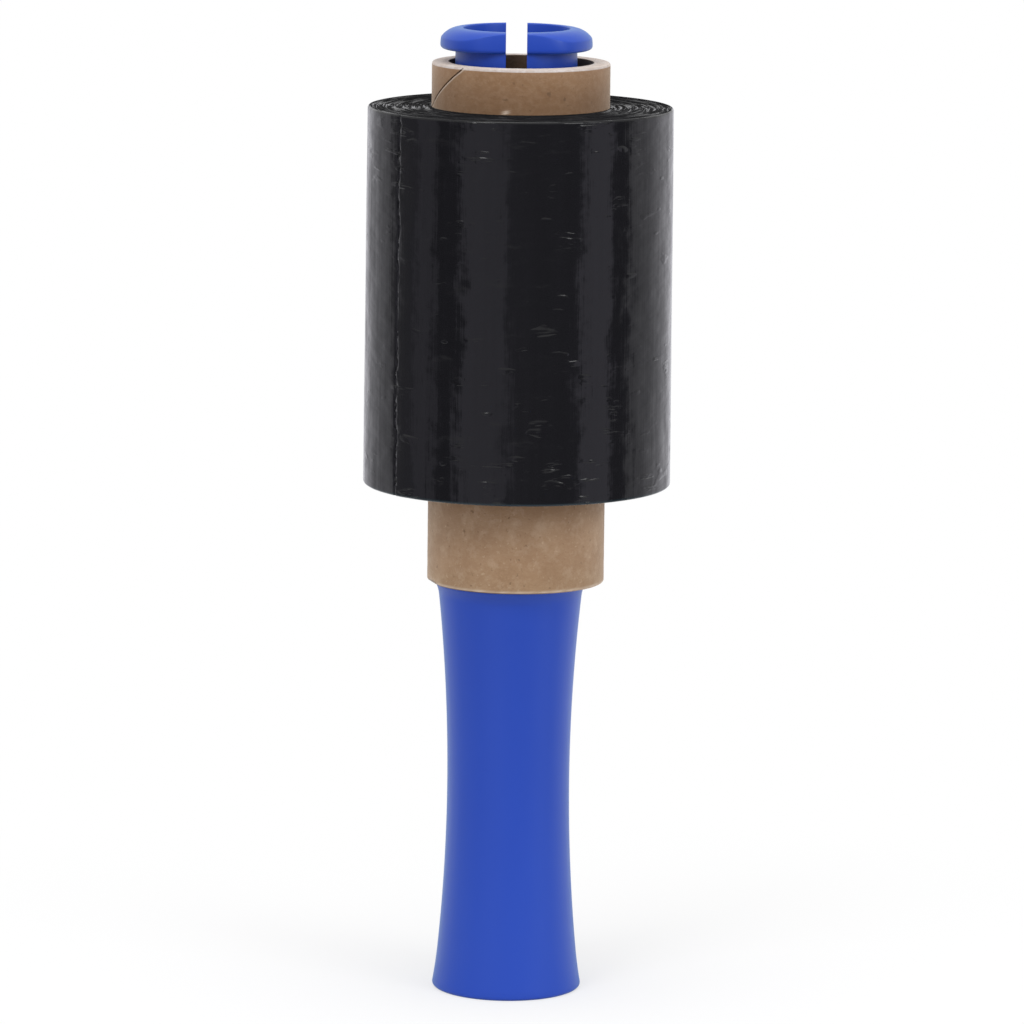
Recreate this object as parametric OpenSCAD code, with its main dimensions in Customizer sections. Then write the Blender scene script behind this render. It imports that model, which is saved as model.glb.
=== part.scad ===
// A hand dispenser for narrow stretch film: a one-piece handle with a roll of film turning on it.
// It stands on the foot of its grip. X runs to the right as seen from the front, Y to the back and
// Z up, and the centre of the foot is at the origin. Sizes are in millimetres.

/* [Roll] */
// Bore of the paper core, which every fit of the handle follows
core_bore_d = 38; // [36:0.5:42]
// Thickness of the core's wall
core_wall = 4.5; // [2:0.1:6]
// Length of the core
core_len = 138; // [128:1:180]
// How far the core stands out below the film
core_below = 26.2; // [5:0.1:36]
// Width of the film, which is the height of the wound roll
film_w = 100; // [60:1:110]
// Diameter over the wound film at its upper end, without the step at its loose end
film_d = 80.7; // [60:0.1:110]
// How much further the roll stands out all round at its lower end, which is wound a little looser
film_taper = 0.45; // [0:0.05:1]

/* [Winding] */
// Width of one band of turns in the film's end faces
turn_band = 1.2; // [0.8:0.1:3]
// How far the bands wander in and out of the end faces
turn_wander = 0.25; // [0.05:0.05:0.5]
// How far the last turn's edges lie inside the end faces
turn_inset = 0.15; // [0.05:0.05:0.5]
// Height of the step where the film's loose end lies on the roll
tail_step = 0.25; // [0.1:0.05:1]
// Where the loose end lies, in degrees from the right side
tail_angle = -141; // [-180:1:180]
// Rise of the core's spiral seam in one turn
seam_lead = 100; // [60:1:160]
// Width of the seam's groove, measured level around the core
seam_w = 0.9; // [0.4:0.1:2]
// Depth of the seam's groove
seam_depth = 0.3; // [0.1:0.05:0.6]
// Where the seam meets the core's top rim, in degrees from the right side
seam_angle = -129; // [-180:1:180]

/* [Grip] */
// Height of the grip, from its foot to the shoulder that carries the roll
grip_h = 110.4; // [95:0.1:140]
// Height of the waist above the foot
waist_h = 56.3; // [45:0.1:65]
// Diameter at the waist
waist_d = 32.6; // [31:0.1:33.5]
// Diameter over the foot
foot_d = 39.7; // [37:0.1:50]
// How far the foot's rim flares out of the grip's long curve
foot_flare = 0.15; // [0.1:0.05:1]
// Height of the foot's flare
foot_flare_h = 10; // [6:0.5:16]
// Rounding of the foot's lower edge
foot_round = 1; // [0.4:0.1:2]
// Wall of the grip and of the hollow below its waist
wall = 2.3; // [1.8:0.1:2.6]

/* [Mandrel and snap head] */
// How far the shoulder reaches under the core's wall when the roll is centred
shoulder_reach = 1; // [0.6:0.1:3]
// How far the shoulder's rim flares out of the grip's long curve
shoulder_flare = 0.6; // [0.2:0.05:1]
// Height of the shoulder's flare
shoulder_flare_h = 4; // [3:0.5:8]
// Rounding of the shoulder's edge
shoulder_round = 0.5; // [0.3:0.1:1]
// Side play between the core and the foot of the mandrel
foot_play = 1.35; // [0.3:0.05:1.6]
// Side play between the core and the top of the mandrel
top_play = 3; // [1.6:0.05:3.2]
// End play between the core's rim and the lips
end_play = 3.4; // [1:0.1:8]
// Height of the snap head above its lips' underside
head_h = 5.5; // [4.5:0.1:9]
// Height of the lips' upright band, where they stand out furthest
band_h = 2.7; // [1.5:0.1:3.5]
// How far the lips catch over the core's rim
lip_catch = 1; // [0.5:0.1:2]
// Radius of each lip, which has to pass the core's bore with the prongs pinched
lip_r = 16.9; // [16.5:0.1:17.6]
// Diameter of the flat land on top of the head
land_d = 30; // [29.4:0.1:33]
// Rounding of the lips' lower edge
lip_round = 1.8; // [0.2:0.1:2.2]
// Width of the slot that splits the head into two prongs
slot_w = 5.6; // [3:0.1:8]
// Depth of the slot below the top of the head
slot_depth = 55; // [20:1:90]

/* [Hidden] */
$fn = 120;
// The grip's long arcs are short pieces of very large circles, so they need finer segments.
long_arc_fn = 720;

// Named clearances
seat_gap = 0.05;  // the core on the shoulder, which it turns on
lean_gap = 0.05;  // the core against the mandrel's foot, where the loose roll has settled
wind_gap = 0.05;  // the film around the core
over = 1;         // how far a cut runs past the face it opens
root = 1;         // how far the mandrel runs on into the grip and into the head
flare_sink = 0.02; // a flare lies this deep in the long curve where it ends, so the two cross

waist_r = waist_d / 2;
foot_r = foot_d / 2;
bore_r = waist_r - wall;
core_bore_r = core_bore_d / 2;
core_r = core_bore_r + core_wall;
film_r = film_d / 2;

// The roll has settled to the right, until its core leans on the foot of the mandrel.
roll_x = foot_play - lean_gap;
core_z = grip_h + seat_gap;
film_z = core_z + core_below;

shoulder_r = core_bore_r + shoulder_reach;
mandrel_foot_r = core_bore_r - foot_play;
mandrel_top_r = core_bore_r - top_play;
lip_z = core_z + core_len + end_play;
top_z = lip_z + head_h;
mandrel_taper = (mandrel_foot_r - mandrel_top_r) / (lip_z - grip_h);

// Each lip is a disc of its own, moved out from the handle's axis. So the pair reaches furthest
// to the left and right, where the prongs bend in, and hardly stands out at the slot.
lip_reach = core_bore_r + lip_catch;
lip_shift = lip_reach - lip_r;
land_r = land_d / 2;
lead_drop = head_h - band_h;
lead_r = (pow(lip_reach - land_r, 2) + pow(lead_drop, 2)) / (2 * lead_drop);

// Radius of an arc that leaves the waist upright and has moved out by rise at a distance of run.
function arc_r(run, rise) = (run * run + rise * rise) / (2 * rise);

// The grip's two long curves meet at the waist, and each ends in a tighter flare.
low_r = arc_r(waist_h, foot_r - foot_flare - waist_r);
high_r = arc_r(grip_h - waist_h, shoulder_r - shoulder_flare - waist_r);

// Where a long curve of radius r stands at height z, and the way from there to its centre.
function on_curve(r, z) = [waist_r + r - sqrt(r * r - pow(z - waist_h, 2)), z];
function inward(r, z) = ([waist_r + r, waist_h] - on_curve(r, z)) / r;
// Radius of the flare that leaves the long curve smoothly at height z and ends at the point rim.
function flare_r(r, z, rim) =
    let (step = rim - on_curve(r, z))
    (step * step) / (2 * (inward(r, z) * step));

foot_rim = [foot_r, foot_round];
shoulder_rim = [shoulder_r, grip_h - shoulder_round];

// The bands of turns in the film's end faces, from the core outwards
winding = film_r - core_r - wind_gap;
bands = round(winding / turn_band);
function turn_r(i, looser = 0) = core_r + wind_gap + (winding + looser) * i / bands;
function turn_z(i, phase) = turn_wander * sin(137.5 * i + phase) * sin(180 * (i + 0.5) / bands);
// Radius of the roll's side at a height above its lower end
function side_r(z) = film_r + film_taper * (1 - z / film_w);

// Half the outline of a drum between two heights, with its lower or upper edge rounded.
module drum_side(r, low, high, low_round = 0, high_round = 0) {
    translate([0, low])
        square([r - low_round - high_round, high - low]);
    translate([0, low + low_round])
        square([r, high - low - low_round - high_round]);
    if (low_round > 0)
        translate([r - low_round, low + low_round])
            circle(low_round);
    if (high_round > 0)
        translate([r - high_round, high - high_round])
            circle(high_round);
}

// A drum whose side is hollowed by one arc.
module hollow_drum(r, low, high, centre, arc, low_round = 0, high_round = 0) {
    rotate_extrude()
        difference() {
            drum_side(r, low, high, low_round, high_round);
            translate(centre)
                circle(arc, $fn = long_arc_fn);
        }
}

// A flare: the drum at one end of the grip, hollowed by its own tighter arc, which leaves the long
// curve of radius r at height leave_z and ends at the point rim.
module flare(low, high, r, leave_z, rim, low_round = 0, high_round = 0) {
    arc = flare_r(r, leave_z, rim);
    centre = on_curve(r, leave_z) + inward(r, leave_z) * arc - [flare_sink, 0];
    hollow_drum(rim.x, low, high, centre, arc, low_round, high_round);
}

// The hourglass grip: two long curves that meet at the waist, with a flare at each end.
module grip() {
    shoulder_z = grip_h - shoulder_flare_h;
    flare(0, foot_flare_h, low_r, foot_flare_h, foot_rim, low_round = foot_round);
    hollow_drum(foot_r, foot_flare_h / 2, waist_h, [waist_r + low_r, waist_h], low_r);
    hollow_drum(shoulder_r, waist_h, grip_h - shoulder_flare_h / 2, [waist_r + high_r, waist_h], high_r);
    flare(shoulder_z, grip_h, high_r, shoulder_z, shoulder_rim, high_round = shoulder_round);
}

// The tapered mandrel, rooted in the grip below it and in the head above it.
module mandrel() {
    translate([0, 0, grip_h - root])
        cylinder(r1 = mandrel_foot_r + root * mandrel_taper, r2 = mandrel_top_r - root * mandrel_taper,
            h = lip_z - grip_h + 2 * root);
}

// The hollow: a straight bore down to the waist, then a cavity that keeps the grip's wall even.
module hollow() {
    translate([0, 0, waist_h - over])
        cylinder(r = bore_r, h = top_z - waist_h + 2 * over);
    hollow_drum(foot_r, -over, waist_h, [waist_r + low_r, waist_h], low_r + wall);
}

// The lead-in of the head: a flat land that rounds over to the lips' upright band.
module lead_in() {
    rotate_extrude()
        union() {
            square([land_r, head_h]);
            square([lip_reach, band_h]);
            intersection() {
                square([lip_reach, head_h]);
                translate([land_r, head_h - lead_r])
                    circle(lead_r);
            }
        }
}

// The snap head before it is split: the lead-in, trimmed in plan by the two lips.
module head() {
    intersection() {
        lead_in();
        for (side = [-1, 1])
            translate([side * lip_shift, 0, 0])
                rotate_extrude()
                    drum_side(lip_r, 0, head_h + over, low_round = lip_round);
    }
}

// The slot runs through from front to back and ends in a round.
module slot() {
    floor_z = top_z - slot_depth + slot_w / 2;
    translate([-slot_w / 2, -lip_reach - over, floor_z])
        cube([slot_w, 2 * (lip_reach + over), top_z - floor_z + over]);
    translate([0, lip_reach + over, floor_z])
        rotate([90, 0, 0])
            cylinder(d = slot_w, h = 2 * (lip_reach + over));
}

// The handle is one moulding: grip, shoulder, tapered mandrel and split snap head.
module handle() {
    color([0.19, 0.30, 0.72])
        difference() {
            union() {
                grip();
                mandrel();
                translate([0, 0, lip_z])
                    head();
            }
            hollow();
            slot();
        }
}

// The groove where the outer ply's edges meet, climbing around the core.
module seam() {
    turns = core_len / seam_lead;
    rotate([0, 0, seam_angle - 360 * turns])
        linear_extrude(height = core_len, twist = -360 * turns, slices = ceil(96 * turns), segments = 4)
            translate([core_r - seam_depth, -seam_w / 2])
                square([seam_depth + over, seam_w]);
}

// The paper core, wound in a spiral.
module core() {
    color([0.56, 0.45, 0.34])
        translate([roll_x, 0, core_z])
            difference() {
                cylinder(r = core_r, h = core_len);
                translate([0, 0, -over])
                    cylinder(r = core_bore_r, h = core_len + 2 * over);
                seam();
            }
}

// The turns of film up to the last one, with the end faces stepped in bands of turns.
module turns() {
    rotate_extrude()
        polygon([
            for (i = [0:bands - 1]) each [
                [turn_r(i), film_w + turn_z(i, 40)],
                [turn_r(i + 1), film_w + turn_z(i, 40)]
            ],
            for (i = [bands - 1:-1:0]) each [
                [turn_r(i + 1, film_taper), turn_z(i, 200)],
                [turn_r(i, film_taper), turn_z(i, 200)]
            ]
        ]);
}

// The last turn: it is thickest at the loose end and has almost run out where it stops.
module last_turn() {
    run_out = 160;
    rotate([0, 0, tail_angle])
        difference() {
            translate([tail_step / 2, 0, turn_inset])
                cylinder(r1 = side_r(turn_inset) + tail_step / 2,
                    r2 = side_r(film_w - turn_inset) + tail_step / 2, h = film_w - 2 * turn_inset);
            translate([0, 0, -over])
                cylinder(r = film_r - turn_band / 2, h = film_w + 2 * over);
            translate([-film_d, -film_d, -over])
                cube([2 * film_d, film_d, film_w + 2 * over]);
            rotate([0, 0, run_out])
                translate([-film_d, 0, -over])
                    cube([2 * film_d, film_d, film_w + 2 * over]);
        }
}

// The wound film.
module film() {
    color([0.09, 0.09, 0.11])
        translate([roll_x, 0, film_z]) {
            turns();
            last_turn();
        }
}

handle();
core();
film();
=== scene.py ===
import math

import bmesh
import bpy
from mathutils import Matrix, Vector, noise


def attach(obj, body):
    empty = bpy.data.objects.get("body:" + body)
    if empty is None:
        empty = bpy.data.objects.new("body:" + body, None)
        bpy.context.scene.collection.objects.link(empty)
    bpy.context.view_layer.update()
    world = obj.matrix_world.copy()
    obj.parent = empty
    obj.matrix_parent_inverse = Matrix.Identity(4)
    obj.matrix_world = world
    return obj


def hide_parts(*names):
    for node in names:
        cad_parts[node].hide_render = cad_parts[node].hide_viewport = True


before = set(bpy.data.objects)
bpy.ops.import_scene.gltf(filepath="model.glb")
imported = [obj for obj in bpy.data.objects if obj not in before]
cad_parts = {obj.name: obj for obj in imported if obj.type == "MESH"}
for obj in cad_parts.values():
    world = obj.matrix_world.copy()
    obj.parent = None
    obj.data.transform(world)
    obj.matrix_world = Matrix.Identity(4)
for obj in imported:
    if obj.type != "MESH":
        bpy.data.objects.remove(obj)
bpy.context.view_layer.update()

# Sizes in millimetres, as in the CAD. The handle stands on the origin, and the roll hangs beside
# its axis. Sizes that differ by less than NEAR count as the same.
MM = 0.001
NEAR = 0.01
FULL_TURN = 2 * math.pi

WAIST_R, WAIST_Z = 16.3, 56.3
FOOT_R, FOOT_FLARE, FOOT_FLARE_H, FOOT_ROUND = 19.85, 0.15, 10, 1
SHOULDER_R, SHOULDER_FLARE, SHOULDER_FLARE_H, SHOULDER_ROUND = 20, 0.6, 4, 0.5
GRIP_H, WALL = 110.4, 2.3
BORE_R = WAIST_R - WALL
MANDREL_FOOT_R, MANDREL_TOP_R = 17.65, 16
LIP_Z, HEAD_H, BAND_H = 251.85, 5.5, 2.7
# The lips' finish: their reach at the side and in front, how square the corner between is, the
# rounding of the lower edge, and how much the band leans in
LIP_REACH, LIP_FRONT, LIP_CORNER, LIP_ROUND, BAND_CROWN = 20, 17.2, 14, 1, 0.1
CREASE_SOFT, SLOT_SOFT = 0.5, 0.22
LAND_R, RIM_ROUND = 15, 0.35
LEAD_DROP = HEAD_H - BAND_H
LEAD_R = ((LIP_REACH - LAND_R) ** 2 + LEAD_DROP ** 2) / (2 * LEAD_DROP)
SLOT_W, SLOT_FLOOR_Z = 5.6, 202.35

ROLL_X, CORE_Z, CORE_LEN, CORE_BORE_R, CORE_R = 1.3, 110.45, 138, 19, 23.5
FILM_Z, FILM_W, FILM_BORE_R, FILM_R, FILM_TAPER = 136.65, 100, 23.55, 40.35, 0.45
TAIL_STEP, TAIL_ANGLE = 0.25, -141
SEAM_LEAD, SEAM_W, SEAM_DEPTH, SEAM_ANGLE = 100, 0.9, 0.3, -129
PLY = 0.45
NICK_ANGLE, NICK_W, NICK_H = -163, 4.2, 1.1
SHRED_ANGLE, SHRED_W, SHRED_H, SHRED_LIFT = -99.5, 0.7, 0.45, 0.6


# ---- Building helpers ----

class Outline:
    """A pen that draws half a section in the XZ plane, which is then turned about the Z axis."""

    def __init__(self, r, z):
        self.bm = bmesh.new()
        self.start = self.tip = self.bm.verts.new((r * MM, 0, z * MM))

    def line(self, r, z, cuts=0):
        way = (Vector((r * MM, 0, z * MM)) - self.tip.co) / (cuts + 1)
        for _ in range(cuts + 1):
            new = bmesh.ops.extrude_vert_indiv(self.bm, verts=[self.tip])["verts"][0]
            new.co = self.tip.co + way
            self.tip = new
        return self

    def arc(self, r, z, degrees, steps):
        """Round a centre at (r, z), anticlockwise where degrees is positive."""
        drawn = bmesh.ops.spin(self.bm, geom=[self.tip], cent=(r * MM, 0, z * MM), axis=(0, -1, 0),
                               angle=math.radians(degrees), steps=steps)
        self.tip = [g for g in drawn["geom_last"] if isinstance(g, bmesh.types.BMVert)][0]
        return self

    def follow(self, radius_at, z, steps):
        """Up or down to height z along a curve that gives the radius at each height."""
        z0 = self.tip.co.z / MM
        for i in range(1, steps + 1):
            at = z0 + (z - z0) * i / steps
            self.line(radius_at(at), at)
        return self

    def turn(self, steps):
        """Joins the ends and turns the closed section into a solid ring."""
        self.bm.edges.new((self.tip, self.start))
        bmesh.ops.spin(self.bm, geom=self.bm.verts[:] + self.bm.edges[:], cent=(0, 0, 0),
                       axis=(0, 0, 1), angle=FULL_TURN, steps=steps, use_merge=True)
        bmesh.ops.remove_doubles(self.bm, verts=self.bm.verts, dist=1e-7)
        bmesh.ops.recalc_face_normals(self.bm, faces=self.bm.faces)
        return self.bm


def polar(v):
    """Radius, angle in degrees and height of a vertex, in millimetres."""
    return math.hypot(v.co.x, v.co.y) / MM, math.degrees(math.atan2(v.co.y, v.co.x)), v.co.z / MM


def put(v, r, angle, z):
    a = math.radians(angle)
    v.co = (r * math.cos(a) * MM, r * math.sin(a) * MM, z * MM)


def wrap(degrees):
    """The same angle between -180 and 180."""
    return (degrees + 180) % 360 - 180


def rough(*at):
    """Smooth random value between about -1 and 1."""
    return noise.noise(Vector(at))


def around(angle, wide):
    """A point on a circle, so that a random value read there closes up after a full turn."""
    a = math.radians(angle)
    return wide * math.cos(a), wide * math.sin(a)


def piece(name, bm, node, body, slot, *materials, sharp):
    """Makes the mesh an object that stands for a CAD node. Edges over sharp degrees stay sharp."""
    mesh = bpy.data.meshes.new(name)
    bm.to_mesh(mesh)
    bm.free()
    mesh.shade_smooth()
    mesh.set_sharp_from_angle(angle=math.radians(sharp))
    for m in materials:
        mesh.materials.append(m)
    ob = bpy.data.objects.new(name, mesh)
    bpy.context.scene.collection.objects.link(ob)
    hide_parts(node)
    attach(ob, body)
    return ob


def in_order(bm):
    """The same mesh built again in order of place, as the tools' own order varies by run."""
    ordered = bmesh.new()
    number = {}
    for v in sorted(bm.verts, key=lambda v: v.co[:]):
        number[v] = len(number)
        ordered.verts.new(v.co)
    ordered.verts.ensure_lookup_table()
    rings = []
    for f in bm.faces:
        ring = [number[v] for v in f.verts]
        first = ring.index(min(ring))
        rings.append(ring[first:] + ring[:first])
    for ring in sorted(rings):
        ordered.faces.new([ordered.verts[i] for i in ring])
    ordered.normal_update()
    bm.free()
    return ordered


def cut(bm, cutter):
    """Takes the cutter out of bm, which comes back as a new bmesh."""
    obs = []
    for name, part in (("kept", bm), ("cutter", cutter)):
        mesh = bpy.data.meshes.new(name)
        part.to_mesh(mesh)
        part.free()
        ob = bpy.data.objects.new(name, mesh)
        bpy.context.scene.collection.objects.link(ob)
        obs.append(ob)
    kept, tool = obs
    mod = kept.modifiers.new("cut", "BOOLEAN")
    mod.operation, mod.solver, mod.object = "DIFFERENCE", "EXACT", tool
    now = bpy.context.evaluated_depsgraph_get()
    done = bpy.data.meshes.new_from_object(kept.evaluated_get(now))
    result = bmesh.new()
    result.from_mesh(done)
    for ob in obs:
        mesh = ob.data
        bpy.data.objects.remove(ob)
        bpy.data.meshes.remove(mesh)
    bpy.data.meshes.remove(done)
    return in_order(result)


# ---- Material helpers ----

class Nodes:
    """Adds nodes to a material or a world and wires their inputs."""

    def __init__(self, owner):
        owner.use_nodes = True
        self.tree = owner.node_tree
        self.tree.nodes.clear()

    def add(self, kind, inputs=None, **settings):
        n = self.tree.nodes.new(kind)
        for key, value in settings.items():
            setattr(n, key, value)
        for key, value in (inputs or {}).items():
            if isinstance(value, bpy.types.NodeSocket):
                self.tree.links.new(value, n.inputs[key])
            else:
                n.inputs[key].default_value = value
        return n

    def math(self, operation, a, b=0.0, c=0.0):
        return self.add("ShaderNodeMath", {0: a, 1: b, 2: c}, operation=operation).outputs[0]

    def noise(self, at, scale, detail=4, roughness=0.5):
        return self.add("ShaderNodeTexNoise", {"Vector": at, "Scale": scale, "Detail": detail,
                                               "Roughness": roughness}).outputs["Fac"]

    def object_place(self, move=(0, 0, 0), scale=(1, 1, 1)):
        at = self.add("ShaderNodeTexCoord").outputs["Object"]
        inputs = {"Vector": at, "Location": move, "Scale": scale}
        return self.add("ShaderNodeMapping", inputs).outputs[0]

    def height(self, at):
        return self.add("ShaderNodeSeparateXYZ", {0: at}).outputs[2]

    def from_axis(self, at):
        """The place brought down to height zero, and its distance from the Z axis."""
        flat = self.add("ShaderNodeVectorMath", {0: at, 1: (1, 1, 0)}, operation="MULTIPLY")
        return flat.outputs[0], self.distance(flat.outputs[0])

    def distance(self, at):
        return self.add("ShaderNodeVectorMath", {0: at}, operation="LENGTH").outputs["Value"]

    def attribute(self, name):
        return self.add("ShaderNodeAttribute", attribute_name=name).outputs["Fac"]

    def between(self, value, start, end, low=0.0, high=1.0, **settings):
        """Goes from low to high as the value goes from start to end, and stays level beyond."""
        inputs = {"Value": value, "From Min": start, "From Max": end, "To Min": low, "To Max": high}
        return self.add("ShaderNodeMapRange", inputs, **settings).outputs[0]

    def spots(self, at, scale, start, end, most, detail=2, roughness=0.5):
        """Soft spots where a noise passes start, at their strongest, most, where it passes end."""
        return self.ramp(self.noise(at, scale, detail, roughness), (start, 0.0), (end, most))

    def ramp(self, value, *stops, interpolation="LINEAR"):
        """A colour for each position; a single number stands for a grey."""
        n = self.add("ShaderNodeValToRGB", {"Fac": value})
        n.color_ramp.interpolation = interpolation
        while len(n.color_ramp.elements) < len(stops):
            n.color_ramp.elements.new(1)
        for element, (position, colour) in zip(n.color_ramp.elements, stops):
            element.position = position
            rgb = colour if isinstance(colour, tuple) else (colour, colour, colour)
            element.color = (*rgb, 1)
        return n.outputs[0]

    def mix(self, fac, a, b, blend="MIX"):
        n = self.add("ShaderNodeMix", data_type="RGBA", blend_type=blend)
        for socket, value in ((n.inputs[0], fac), (n.inputs[6], a), (n.inputs[7], b)):
            if isinstance(value, bpy.types.NodeSocket):
                self.tree.links.new(value, socket)
            else:
                socket.default_value = (*value, 1) if isinstance(value, tuple) else value
        return n.outputs[2]

    def bump(self, height, distance, strength=1.0, normal=None):
        inputs = {"Height": height, "Distance": distance, "Strength": strength}
        if normal is not None:
            inputs["Normal"] = normal
        return self.add("ShaderNodeBump", inputs).outputs[0]

    def surface(self, **inputs):
        """The shader, whose sockets are named with _ in place of each space."""
        sockets = {name.replace("_", " "): value for name, value in inputs.items()}
        shader = self.add("ShaderNodeBsdfPrincipled", sockets)
        self.add("ShaderNodeOutputMaterial", {"Surface": shader.outputs[0]})


def moulded_plastic():
    """Satin blue polypropylene: even colour with a very fine grain and a few soft flow marks."""
    m = bpy.data.materials.new("satin_blue_plastic")
    n = Nodes(m)
    flow = n.noise(n.object_place(scale=(1, 1, 0.35)), 38, 3)
    colour = n.mix(flow, (0.0095, 0.044, 0.368), (0.0125, 0.053, 0.415))
    grain = n.noise(n.object_place(), 2600, 2)
    drag = n.noise(n.object_place(scale=(1, 1, 0.06)), 900, 3)
    roughness = n.math("MULTIPLY_ADD", drag, 0.10, 0.33)
    height = n.math("ADD", grain, n.math("MULTIPLY", drag, 0.8))
    n.surface(Base_Color=colour, Roughness=roughness, IOR=1.43, Specular_Tint=(0.8, 1.0, 1.0, 1),
              Sheen_Weight=0.13, Sheen_Roughness=0.38, Sheen_Tint=(0.12, 0.92, 1.0, 1),
              Normal=n.bump(height, 0.000012, 0.5))
    return m


def kraft(name, shade=1.0, rim=False):
    """Unbleached core paper: brown with fibres, mottling and a few dark and pale flecks, with
    painted light and shade by height.
    """
    m = bpy.data.materials.new(name)
    n = Nodes(m)
    at = n.object_place(move=(-ROLL_X * MM, 0, 0))
    height = n.height(at)
    along = n.math("MULTIPLY_ADD", height, 1 / (CORE_LEN * MM), -CORE_Z / CORE_LEN)
    mottle = n.noise(at, 120, 4, 0.6)
    grain = n.noise(n.object_place(scale=(1, 1, 1.4)), 640, 3, 0.6)
    fibre = n.noise(n.object_place(scale=(1, 1, 2.6)), 1500, 5, 0.7)

    # Painted light and shade: the paper is paler below the film, where the floor lights it, and
    # darker above it, where the film shades it.
    low = n.between(height, (CORE_Z + 105) * MM, (CORE_Z + 25) * MM)
    tone = n.ramp(mottle, (0.34, 0.0), (0.66, 1.0))
    shaded_tone = n.mix(tone, (0.280, 0.158, 0.082), (0.322, 0.188, 0.102))
    lit_tone = n.mix(tone, (0.325, 0.200, 0.120), (0.380, 0.244, 0.152))
    colour = n.mix(low, shaded_tone, lit_tone)
    colour = n.mix(n.ramp(grain, (0.42, 0.0), (0.66, 0.24)), colour, (0.46, 0.32, 0.215))
    colour = n.mix(n.ramp(fibre, (0.50, 0.0), (0.72, 0.22)), colour, (0.17, 0.10, 0.055))
    # Painted shadow: a darker band on the paper just below the film's lower edge.
    shadow_under_film = n.ramp(along, (0.135, 0.0), (0.187, 0.75), (0.25, 0.0))
    colour = n.mix(shadow_under_film, colour, (0.27, 0.150, 0.074))

    cloud = n.spots(n.object_place(move=(0.1, 0.2, 0)), 230, 0.50, 0.66, 0.42, 4, 0.7)
    # The pale clouds and pale flecks are stronger below the film, with its painted light.
    cloud = n.math("MULTIPLY", cloud, n.math("MULTIPLY_ADD", low, 0.85, 0.15))
    colour = n.mix(cloud, colour, (0.50, 0.365, 0.262))
    dark_fleck = n.spots(at, 700, 0.67, 0.76, 0.55)
    colour = n.mix(dark_fleck, colour, (0.13, 0.072, 0.04))
    pale_fleck = n.spots(n.object_place(move=(0.3, 0.1, 0)), 900, 0.64, 0.76, 0.40)
    pale_fleck = n.math("MULTIPLY", pale_fleck, n.math("MULTIPLY_ADD", low, 0.7, 0.3))
    colour = n.mix(pale_fleck, colour, (0.60, 0.46, 0.33))

    # Both ends are a little browner: darker towards the foot, and painted shade near the top, where
    # the film shades the paper.
    darker_foot_and_film_shade = n.ramp(along, (0.0, (0.87, 0.88, 0.81)), (0.06, (0.93, 0.92, 0.86)),
                  (0.10, (1.0, 1.0, 0.95)), (0.92, (0.65, 0.63, 0.60)),
                  (0.949, (0.74, 0.72, 0.69)), (0.973, (0.88, 0.88, 0.85)),
                  (0.996, (1.0, 1.0, 0.98)))
    colour = n.mix(1.0, colour, darker_foot_and_film_shade, "MULTIPLY")
    relief = n.math("MULTIPLY_ADD", grain, 1.2, mottle)
    relief = n.math("MULTIPLY_ADD", fibre, 0.8, relief)
    if rim:
        # Sawn fibres are pale, with the plies as fine dark rings.
        sawn = n.ramp(n.noise(at, 420, 3, 0.7), (0.38, 0.60), (0.62, 0.92))
        colour = n.mix(sawn, colour, (0.60, 0.56, 0.54))
        wander = n.math("MULTIPLY", mottle, 9)
        rings = n.math("MULTIPLY_ADD", n.from_axis(at)[1], FULL_TURN / (PLY * MM), wander)
        plies = n.math("SINE", rings)
        colour = n.mix(n.ramp(plies, (0.25, 0.0), (1.0, 0.42)), colour, (0.25, 0.20, 0.165))
        relief = n.math("MULTIPLY_ADD", plies, 0.4, relief)
    else:
        # Darkens the seam groove and the nick, and paints shade on the lower rim's underside.
        seam = n.ramp(n.attribute("seam"), (0.45, 0.0), (0.72, 1.0))
        colour = n.mix(seam, colour, (0.055, 0.030, 0.016))
        # Pale marks: a lifted seam edge, a shred, and the lower rim's line, which is partly painted
        # light.
        colour = n.mix(n.attribute("pale"), colour, (0.58, 0.47, 0.37))
    # Painted shade: a shade below 1 darkens the whole paper, as inside the bore.
    colour = n.mix(1.0, colour, (shade, shade, shade), "MULTIPLY")
    n.surface(Base_Color=colour, Roughness=0.86, IOR=1.4, Specular_IOR_Level=0.35,
              Sheen_Weight=0.55 * shade, Sheen_Roughness=0.45, Sheen_Tint=(1, 0.86, 0.72, 1),
              Normal=n.bump(relief, 0.00009, 0.6))
    return m


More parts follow.
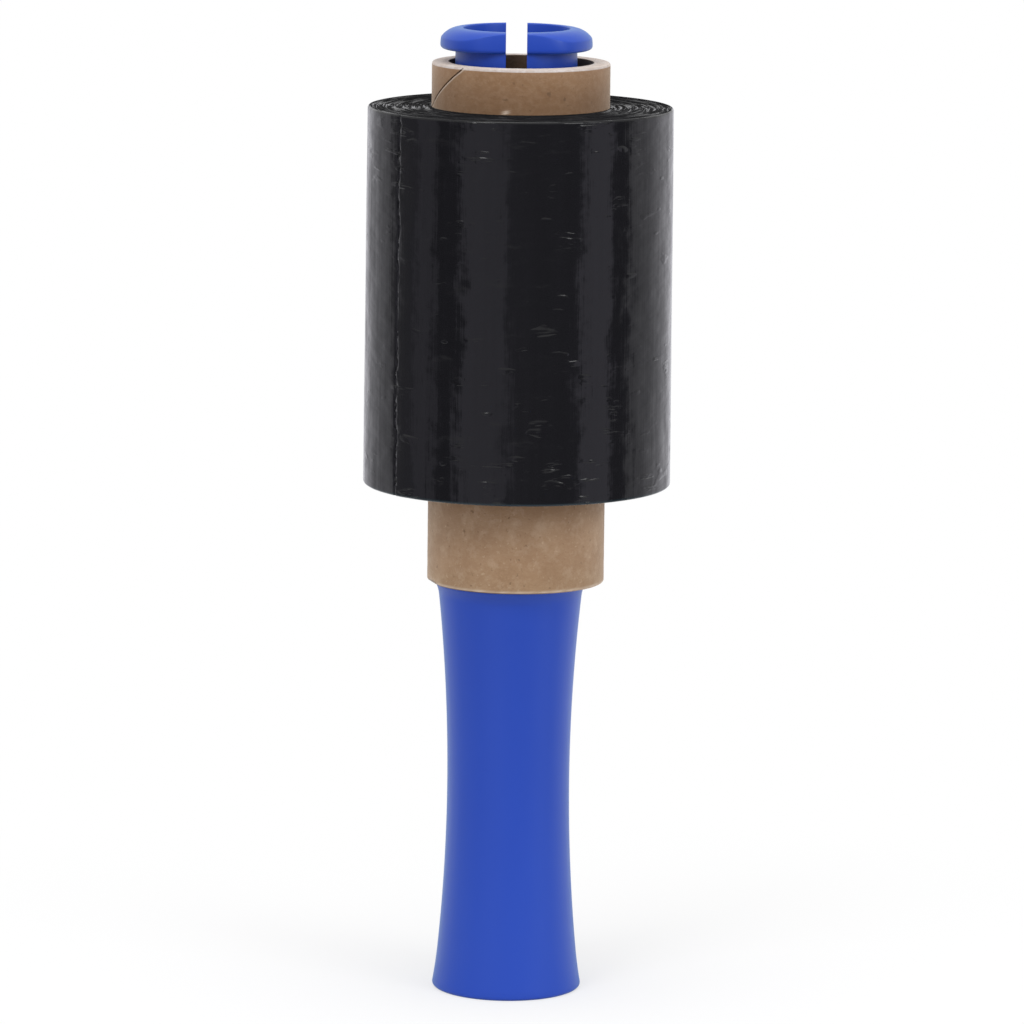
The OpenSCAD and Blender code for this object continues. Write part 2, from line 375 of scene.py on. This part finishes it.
def wound_film():
    """Glossy black stretch film: streaks along the roll and short wrinkles across it."""
    m = bpy.data.materials.new("black_stretch_film")
    n = Nodes(m)
    height = n.height(n.object_place())
    wide = n.noise(n.object_place(scale=(1, 1, 0.45)), 52, 2)
    streak = n.noise(n.object_place(scale=(1, 1, 0.04)), 330, 4, 0.65)
    pucker = n.noise(n.object_place(scale=(0.5, 0.5, 1)), 250, 2, 0.4)
    normal = n.bump(streak, 0.00010, 0.8, n.bump(wide, 0.0010, 1.0))
    normal = n.bump(pucker, 0.00042, 0.8, normal)
    dent = n.spots(n.object_place(move=(0.7, 0.2, 0.4), scale=(0.4, 0.4, 1)), 230, 0.66, 0.84, 1.0)
    normal = n.bump(dent, 0.00030, 0.9, normal)

    # Short wrinkles in patches, most of them near the two ends
    wrinkle = n.noise(n.object_place(scale=(0.20, 0.20, 1)), 620, 2, 0.5)
    crease = n.ramp(wrinkle, (0.56, 0.0), (0.68, 1.0))
    from_middle = n.math("ABSOLUTE", n.math("SUBTRACT", height, (FILM_Z + FILM_W / 2) * MM))
    near_end = n.math("MULTIPLY_ADD", from_middle, 3.0, -0.08)
    patch = n.noise(n.object_place(move=(0.31, 0.17, 0.05), scale=(1, 1, 1.3)), 85, 3, 0.6)
    patch = n.ramp(n.math("ADD", patch, near_end), (0.53, 0.0), (0.66, 1.0))
    normal = n.bump(n.math("MULTIPLY", patch, crease), 0.00015, 0.9, normal)

    colour = n.mix(streak, (0.0042, 0.0042, 0.0050), (0.0070, 0.0070, 0.0085))
    low_edge = n.between(height, FILM_Z * MM, (FILM_Z + 0.9) * MM, 1.0, 0.0)
    colour = n.mix(low_edge, colour, (0.008, 0.022, 0.030))
    roughness = n.math("MULTIPLY_ADD", wrinkle, 0.12, 0.06)
    n.surface(Base_Color=colour, Roughness=roughness, IOR=1.35, Normal=normal)
    return m


def film_edges():
    """The turns' edges in the end faces: black ridges, glossy in places and matt in others, with
    paler arcs in patches as painted highlight.
    """
    m = bpy.data.materials.new("black_film_edges")
    n = Nodes(m)
    at = n.object_place(move=(-ROLL_X * MM, 0, 0))
    # A place whose height is the radius makes the noise run round in thin arcs.
    flat, r = n.from_axis(at)
    way = n.add("ShaderNodeVectorMath", {0: flat}, operation="NORMALIZE").outputs[0]
    way = n.add("ShaderNodeVectorMath", {0: way, "Scale": 0.0022}, operation="SCALE").outputs[0]
    rise = n.add("ShaderNodeCombineXYZ", {2: r}).outputs[0]
    polar_place = n.add("ShaderNodeVectorMath", {0: way, 1: rise}, operation="ADD").outputs[0]
    arcs = n.noise(polar_place, 1350, 4, 0.65)
    patches = n.spots(at, 110, 0.45, 0.60, 1.0, 3)
    # Painted highlight: paler arcs in patches brighten the streaks that reflect the room.
    pale = n.math("MULTIPLY", n.ramp(arcs, (0.52, 0.0), (0.72, 1.0)), patches)
    colour = n.mix(pale, (0.005, 0.005, 0.006), (0.046, 0.046, 0.049))
    roughness = n.ramp(arcs, (0.47, 0.85), (0.59, 0.12))
    normal = n.bump(arcs, 0.00045, 0.9)
    n.surface(Base_Color=colour, Roughness=roughness, IOR=1.19, Normal=normal)
    return m


# ---- Handle ----

def arc_radius(run, rise):
    """Radius of an arc that leaves the waist upright and is out by rise after a distance of run."""
    return (run * run + rise * rise) / (2 * rise)


LOW_R = arc_radius(WAIST_Z, FOOT_R - FOOT_FLARE - WAIST_R)
HIGH_R = arc_radius(GRIP_H - WAIST_Z, SHOULDER_R - SHOULDER_FLARE - WAIST_R)


def long_curve(r, z):
    return WAIST_R + r - math.sqrt(r * r - (z - WAIST_Z) ** 2)


def flare(r, leave_z, rim):
    """The radius at each height on the arc that leaves a long curve smoothly for the rim."""
    leave = Vector((long_curve(r, leave_z), leave_z))
    inward = (Vector((WAIST_R + r, WAIST_Z)) - leave) / r
    step = Vector(rim) - leave
    arc = step.dot(step) / (2 * inward.dot(step))
    centre = leave + inward * arc
    return lambda z: centre.x - math.sqrt(arc * arc - (z - centre.y) ** 2)


FOOT_SIDE = flare(LOW_R, FOOT_FLARE_H, (FOOT_R, FOOT_ROUND))
SHOULDER_SIDE = flare(HIGH_R, GRIP_H - SHOULDER_FLARE_H, (SHOULDER_R, GRIP_H - SHOULDER_ROUND))


def grip_radius(z):
    if z < FOOT_FLARE_H:
        return FOOT_SIDE(z)
    if z > GRIP_H - SHOULDER_FLARE_H:
        return SHOULDER_SIDE(z)
    return long_curve(LOW_R if z < WAIST_Z else HIGH_R, z)


def cavity_radius(z):
    """The hollow below the waist, one wall inside the grip."""
    r = LOW_R + WALL
    return WAIST_R + LOW_R - math.sqrt(r * r - (z - WAIST_Z) ** 2)


def trim_lips(bm):
    """Gives the turned head the plan of two lips, full at the sides and flatter by the slot."""
    centre_z = HEAD_H - LEAD_R
    band_angle = math.atan2(BAND_H - centre_z, LIP_REACH - LAND_R)

    def lead_height(r):
        return centre_z + math.sqrt(max(0, LEAD_R ** 2 - (r - LAND_R) ** 2))

    for v in bm.verts:
        r, angle, z = polar(v)
        up = z - LIP_Z
        on_land = up > HEAD_H - NEAR and r < LAND_R + NEAR
        on_mandrel = up < NEAR and r < MANDREL_TOP_R + NEAR
        if up < -NEAR or r < LAND_R - NEAR or on_land or on_mandrel:
            continue
        to_front = abs(math.sin(math.radians(angle))) / LIP_FRONT
        limit = (LIP_REACH ** -LIP_CORNER + to_front ** LIP_CORNER) ** (-1 / LIP_CORNER)
        # The band leans in a little towards the crease, where the lead-in starts.
        crease_r = limit - BAND_CROWN * (lead_height(limit) - LIP_ROUND)
        crease = lead_height(crease_r)
        if up < NEAR:
            share = (r - MANDREL_TOP_R) / (LIP_REACH - LIP_ROUND - MANDREL_TOP_R)
            r = MANDREL_TOP_R + share * max(NEAR, limit - LIP_ROUND - MANDREL_TOP_R)
        elif up < LIP_ROUND + NEAR:
            # The rounding never goes inside the mandrel, whose side shows there instead.
            r = max(r + limit - LIP_REACH, MANDREL_TOP_R + NEAR * (1 + up))
        elif up < BAND_H + NEAR:
            share = (up - LIP_ROUND) / (BAND_H - LIP_ROUND)
            r = limit - (limit - crease_r) * share ** 2
            up = LIP_ROUND + share * (crease - LIP_ROUND)
        else:
            at = math.atan2(up - centre_z, r - LAND_R)
            share = (at - band_angle) / (math.pi / 2 - band_angle)
            start = math.atan2(crease - centre_z, crease_r - LAND_R)
            at = start + share * (math.pi / 2 - start)
            r, up = LAND_R + LEAD_R * math.cos(at), centre_z + LEAD_R * math.sin(at)
        put(v, r, angle, LIP_Z + up)


def make_handle():
    foot_edge = 0.3
    pen = Outline(cavity_radius(0) + foot_edge, 0)
    pen.line(FOOT_R - FOOT_ROUND, 0).arc(FOOT_R - FOOT_ROUND, FOOT_ROUND, 90, 6)
    pen.follow(grip_radius, FOOT_FLARE_H, 8).follow(grip_radius, GRIP_H - SHOULDER_FLARE_H, 44)
    pen.follow(grip_radius, GRIP_H - SHOULDER_ROUND, 6)
    pen.arc(SHOULDER_R - SHOULDER_ROUND, GRIP_H - SHOULDER_ROUND, 90, 5)
    pen.line(MANDREL_FOOT_R, GRIP_H).line(MANDREL_TOP_R, LIP_Z, cuts=20)
    pen.line(LIP_REACH - LIP_ROUND, LIP_Z, cuts=2)
    pen.arc(LIP_REACH - LIP_ROUND, LIP_Z + LIP_ROUND, 90, 6)
    pen.line(LIP_REACH, LIP_Z + BAND_H, cuts=7)
    band_angle = math.degrees(math.atan2(LEAD_R - LEAD_DROP, LIP_REACH - LAND_R))
    pen.arc(LAND_R, LIP_Z + HEAD_H - LEAD_R, 90 - band_angle, 10)
    top = LIP_Z + HEAD_H
    pen.line(BORE_R + RIM_ROUND, top).arc(BORE_R + RIM_ROUND, top - RIM_ROUND, 90, 4)
    pen.line(BORE_R, WAIST_Z, cuts=40).follow(cavity_radius, foot_edge, 20)
    bm = pen.turn(240)
    trim_lips(bm)

    slot = bmesh.new()
    past = 4
    reach = 2 * (LIP_REACH + past) * MM
    height = (top + past - SLOT_FLOOR_Z) * MM
    block = bmesh.ops.create_cube(slot, size=1)["verts"]
    bmesh.ops.scale(slot, vec=(SLOT_W * MM, reach, height), verts=block)
    bmesh.ops.translate(slot, vec=(0, 0, SLOT_FLOOR_Z * MM + height / 2), verts=block)
    floor = [e for e in slot.edges if all(v.co.z < (SLOT_FLOOR_Z + NEAR) * MM for v in e.verts)
             and abs(e.verts[0].co.x - e.verts[1].co.x) < NEAR * MM]
    bmesh.ops.bevel(slot, geom=floor, offset=SLOT_W / 2 * MM * 0.98, segments=8, profile=0.5,
                    affect="EDGES", material=-1)
    bm = cut(bm, slot)

    # Angles, in radians, that tell a crease or an edge of the slot from the facets of a curve
    crease_turn, edge_turn = 0.25, 0.6
    side, soft_from = SLOT_W / 2 * MM, 210 * MM

    def on_wall(v):
        return abs(abs(v.co.x) - side) < NEAR * MM / 100 and v.co.z > soft_from

    def on_lead(v):
        r, _, z = polar(v)
        return z > LIP_Z + BAND_H - 0.1 and r > LAND_R + 0.5

    folded = [e for e in bm.edges if len(e.link_faces) == 2]
    crease = [e for e in folded if e.calc_face_angle(0) > crease_turn and all(map(on_lead, e.verts))
              and not all(map(on_wall, e.verts))]
    bmesh.ops.bevel(bm, geom=crease, offset=CREASE_SOFT * MM, segments=4, profile=0.5,
                    affect="EDGES", material=-1, clamp_overlap=True)
    walls = [e for e in bm.edges if all(map(on_wall, e.verts)) and len(e.link_faces) == 2
             and e.calc_face_angle(0) > edge_turn]
    bmesh.ops.bevel(bm, geom=walls, offset=SLOT_SOFT * MM, segments=2, profile=0.5,
                    affect="EDGES", material=-1, clamp_overlap=True)
    # The bevels leave a few corners a hair apart.
    bmesh.ops.remove_doubles(bm, verts=bm.verts, dist=NEAR * MM / 5)
    return piece("moulded_handle", in_order(bm), "handle", "handle", "blue_plastic",
                 moulded_plastic(), sharp=40)


# ---- Paper core ----

def seam_turn(z):
    """Angle of the spiral seam at a height above the core's foot."""
    return SEAM_ANGLE - 360 * (CORE_LEN - z) / SEAM_LEAD


def make_core():
    top_edge, inner_edge, low_edge = 0.7, 0.3, 0.5
    below, above = FILM_Z - CORE_Z, FILM_Z + FILM_W - CORE_Z
    side, rim, bore = 0, 1, 2
    pen = Outline(CORE_BORE_R + low_edge, 0)
    pen.line(CORE_R - low_edge, 0, cuts=9).arc(CORE_R - low_edge, low_edge, 90, 5)
    pen.line(CORE_R, below, cuts=44).line(CORE_R, above, cuts=30)
    pen.line(CORE_R, CORE_LEN - top_edge, cuts=24)
    pen.arc(CORE_R - top_edge, CORE_LEN - top_edge, 90, 5)
    pen.line(CORE_BORE_R + inner_edge, CORE_LEN, cuts=9)
    pen.arc(CORE_BORE_R + inner_edge, CORE_LEN - inner_edge, 90, 3)
    pen.line(CORE_BORE_R, low_edge, cuts=12).arc(CORE_BORE_R + low_edge, low_edge, 90, 4)
    bm = pen.turn(320)
    for f in bm.faces:
        at = f.calc_center_median() / MM
        if math.hypot(at.x, at.y) < CORE_BORE_R + 0.1:
            f.material_index = bore
        elif at.z < NEAR or at.z > CORE_LEN - top_edge * 0.9:
            f.material_index = rim
        else:
            f.material_index = side
    seam = bm.verts.layers.float.new("seam")
    pale = bm.verts.layers.float.new("pale")
    for v in bm.verts:
        r, angle, z = polar(v)
        # The columns of faces climb with the seam and crowd together beside it.
        a = math.radians(angle)
        off = math.degrees(a - 0.9 * math.sin(a))
        across = math.radians(off) * r
        angle = off + seam_turn(z)
        wander = 0.12 * rough(z * 0.7, 3.1, 0)
        groove = max(0.0, 1 - (abs(across - wander) / (SEAM_W / 2)) ** 2)
        lifted = math.exp(-((across - wander - 0.8 * SEAM_W) / (0.4 * SEAM_W)) ** 2)
        v[seam] = groove
        # A shred of paper stands pale beside the film, and the lower rim has a frayed nick.
        from_shred = math.radians(wrap(angle - SHRED_ANGLE)) * r / SHRED_W
        shred = math.exp(-from_shred ** 2 - ((z - above - SHRED_LIFT) / SHRED_H) ** 2)
        v[pale] = max(lifted * (0.8 + 0.2 * rough(z * 1.3, 0, 8)), min(1, 1.5 * shred))
        from_nick = math.radians(wrap(angle - NICK_ANGLE)) * r / NICK_W
        nick = math.exp(-from_nick ** 4 - (z / NICK_H) ** 2)
        if r > CORE_R - low_edge and z < 0.6:
            # A pale line along the lower rim, partly the cut fibres' paler colour and partly
            # painted light on the rounding, with painted shade on its underside below it, from the
            # left round the front
            if z < 0.25:
                v[pale] = 0
                v[seam] = max(v[seam], 0.75 - 0.35 * math.cos(math.radians(angle)))
            else:
                pale_fibre_and_light = 0.5 + 0.45 * rough(*around(angle, 11), 4)
                v[pale] = max(v[pale], pale_fibre_and_light) * (1 - nick)
        if r > CORE_R - top_edge * 0.8:
            r -= 0.05 + SEAM_DEPTH * groove
            r += 0.05 * lifted + 0.03 * rough(*around(angle, 9), z * 0.35)
            r -= nick * (0.5 + 0.35 * rough(angle * 0.9, z * 2, 5))
            v[seam] = max(v[seam], nick)
        elif r > CORE_BORE_R + 0.2:
            # The sawn rims: plies stand a little up and down
            lift = 0.14 * rough(*around(angle, 5), r * 4.1)
            lift += 0.12 * rough(*around(angle, 21), r * 1.2)
            z += abs(lift) + 0.5 * nick if z < CORE_LEN / 2 else -abs(lift)
        put(v, r, angle, z)
    bmesh.ops.translate(bm, vec=(ROLL_X * MM, 0, CORE_Z * MM), verts=bm.verts)
    # The bore's paper is the same paper darkened to a quarter: painted shade inside the core.
    return piece("paper_core", bm, "core", "roll", "kraft_paper", kraft("kraft_paper_side"),
                 kraft("kraft_paper_rim", rim=True), kraft("kraft_paper_bore_painted_shade", shade=0.25),
                 sharp=60)


# ---- Film ----

def make_film():
    rings, rows, edge = 54, 84, 0.6
    pen = Outline(FILM_BORE_R, 0)
    pen.line(FILM_R - edge, 0, cuts=rings).arc(FILM_R - edge, edge, 90, 4)
    pen.line(FILM_R, FILM_W - edge, cuts=rows).arc(FILM_R - edge, FILM_W - edge, 90, 4)
    pen.line(FILM_BORE_R, FILM_W, cuts=rings)
    bm = pen.turn(360)
    wound, edges = 0, 1
    for f in bm.faces:
        f.material_index = edges if abs(f.normal.z) > 0.9 else wound
    for v in bm.verts:
        r, angle, z = polar(v)
        top = z > FILM_W / 2
        # Its place in the end face: the ring of vertices, and 0 to 1 from the bore to the side
        ring = round((r - FILM_BORE_R) / (FILM_R - edge - FILM_BORE_R) * (rings + 1))
        share = (r - FILM_BORE_R) / (FILM_R - FILM_BORE_R)
        # The columns of faces crowd together beside the loose end.
        a = math.radians(angle)
        from_tail = math.degrees(a - 0.6 * math.sin(a))
        angle = from_tail + TAIL_ANGLE
        if 0 < ring <= rings:
            # Ridges and furrows of the turns' edges, which come and go along each turn
            x, y = around(angle, 2.4)
            drift = 0.10 * rough(x, y, r * 0.35 + (50 if top else 0))
            group = 0.16 * rough(x, y, r * 1.4 + (70 if top else 10))
            ridge = 0.11 + 0.08 * rough(x * 2, y * 2, ring * 7.31 + (90 if top else 20))
            fine = 0.03 * rough(x * 11, y * 11, ring * 3.17)
            lift = drift + group + (ridge if ring % 2 else -ridge) + fine - 0.27
            z += lift if top else -lift
        if r > FILM_R - 1.5 * edge:
            ragged = 0.8 * rough(z * 0.4, 1.7, 4) + 0.6 * rough(z * 1.3, 7.7, 1)
            past_tail = math.radians(from_tail) * FILM_R - ragged
            # The last turn is thickest at its loose end and runs out to nothing.
            if past_tail > 0 and from_tail < 160:
                loose = min(1, max(0.25, 0.75 + 1.1 * rough(z * 0.21, 2.2, 9)))
                thick = TAIL_STEP / 2 * (1 + math.cos(math.radians(from_tail)))
                r += thick * min(1, past_tail / 0.3) * loose
            r -= 0.5 * math.exp(-((past_tail + 0.25) / 0.28) ** 2)
            x, y = around(angle, 5)
            sag = 0.06 * rough(x, y, z * 0.035) + 0.03 * rough(x * 4, y * 4, z * 0.02)
            ripple = 0.02 * rough(x * 0.9, y * 0.9, z * 0.55)
            r += sag + ripple - 0.10
        r += FILM_TAPER * share * (1 - z / FILM_W)
        put(v, r, angle, z)
    bmesh.ops.translate(bm, vec=(ROLL_X * MM, 0, FILM_Z * MM), verts=bm.verts)
    return piece("film_roll", bm, "film", "roll", "black_film", wound_film(), film_edges(),
                 sharp=32)


# ---- Studio ----

def bank(bearing, level):
    """A stop of the ramp round the room: a slightly tinted light level at a bearing in degrees."""
    tint = (1, 0.99, 1.05) if abs(bearing) > 90 else (0.98, 0.95, 1.10)
    return (bearing + 180) / 360, tuple(level * t for t in tint)


def studio():
    """A white room: a pale floor, a bright dome, and soft light and dark banks round the sides."""
    world = bpy.data.worlds.new("white_studio")
    bpy.context.scene.world = world
    n = Nodes(world)
    way = n.add("ShaderNodeSeparateXYZ", {0: n.add("ShaderNodeTexCoord").outputs["Generated"]})
    around_room = n.math("ARCTAN2", way.outputs[0], n.math("MULTIPLY", way.outputs[1], -1))
    turn = n.math("MULTIPLY_ADD", around_room, 1 / FULL_TURN, 0.5)
    low = n.ramp(turn, bank(-180, 0.88), bank(-109, 0.84), bank(-103, 0.32), bank(-85, 0.32),
                 bank(-80, 0.60), bank(-68, 0.58), bank(-62, 0.17), bank(-47, 0.17),
                 bank(-43, 0.78), bank(-10, 0.70), bank(-4, 0.30), bank(20, 0.26), bank(46, 0.22),
                 bank(52, 0.95), bank(71, 0.95), bank(76, 0.16), bank(88, 0.18), bank(95, 0.82),
                 bank(112, 0.96), bank(132, 1.02), bank(180, 1.02))
    rise = n.between(way.outputs[2], 0.0, 0.2)
    room = n.mix(rise, low, (0.88, 0.88, 0.88))
    seen = n.add("ShaderNodeLightPath").outputs["Is Camera Ray"]
    colour = n.mix(seen, room, (1, 1, 1))
    back = n.add("ShaderNodeBackground", {"Color": colour, "Strength": 1.0})
    n.add("ShaderNodeOutputWorld", {"Surface": back.outputs[0]})

    bm = bmesh.new()
    bmesh.ops.create_circle(bm, cap_ends=True, segments=128, radius=0.32)
    mesh = bpy.data.meshes.new("studio_floor")
    bm.to_mesh(mesh)
    bm.free()
    floor = bpy.data.objects.new("studio_floor", mesh)
    bpy.context.scene.collection.objects.link(floor)
    m = bpy.data.materials.new("pale_floor")
    n = Nodes(m)
    # The camera sees the floor fade to white, and its shadow stays near the foot.
    fade = n.between(n.distance(n.object_place()), 0.03, 0.24, 0.6, 1.0,
                     interpolation_type="SMOOTHSTEP")
    seen = n.add("ShaderNodeLightPath").outputs["Is Camera Ray"]
    lit = n.add("ShaderNodeBsdfDiffuse", {"Color": (0.78, 0.78, 0.78, 1)})
    white = n.add("ShaderNodeEmission", {"Color": (1, 1, 1, 1), "Strength": 1.0})
    both = n.add("ShaderNodeMixShader", {0: n.math("MULTIPLY", fade, seen), 1: lit.outputs[0],
                                         2: white.outputs[0]})
    n.add("ShaderNodeOutputMaterial", {"Surface": both.outputs[0]})
    floor.data.materials.append(m)


def soft_box(name, place, target, size, watts):
    lamp = bpy.data.lights.new(name, "AREA")
    lamp.shape, lamp.size, lamp.energy = "DISK", size, watts
    ob = bpy.data.objects.new(name, lamp)
    bpy.context.scene.collection.objects.link(ob)
    ob.location = place
    ob.rotation_euler = (Vector(target) - Vector(place)).to_track_quat("-Z", "Y").to_euler()


def camera():
    """A long lens a little above the roll, tilted down, with the picture's slight roll."""
    sensor, focal_px, picture_px = 36, 6508, 1024
    data = bpy.data.cameras.new("camera")
    data.sensor_width, data.lens = sensor, focal_px * sensor / picture_px
    data.clip_start, data.clip_end = 0.05, 50
    ob = bpy.data.objects.new("camera", data)
    bpy.context.scene.collection.objects.link(ob)
    ob.matrix_world = (Matrix.Translation((0.0002, -1.7049, 0.4087))
                       @ Matrix.Rotation(math.radians(90 - 9.33), 4, "X")
                       @ Matrix.Rotation(math.radians(0.65), 4, "Z"))
    bpy.context.scene.camera = ob


camera()
studio()
soft_box("key", (-0.7, -1.1, 1.3), (0, 0, 0.15), 0.7, 8)
soft_box("fill", (1.0, -0.9, 0.8), (0, 0, 0.15), 0.7, 5.5)
soft_box("overhead", (0, -0.2, 1.5), (0, 0, 0.15), 0.8, 5)
make_handle()
make_core()
make_film()

bpy.context.scene.view_settings.view_transform = "Standard"
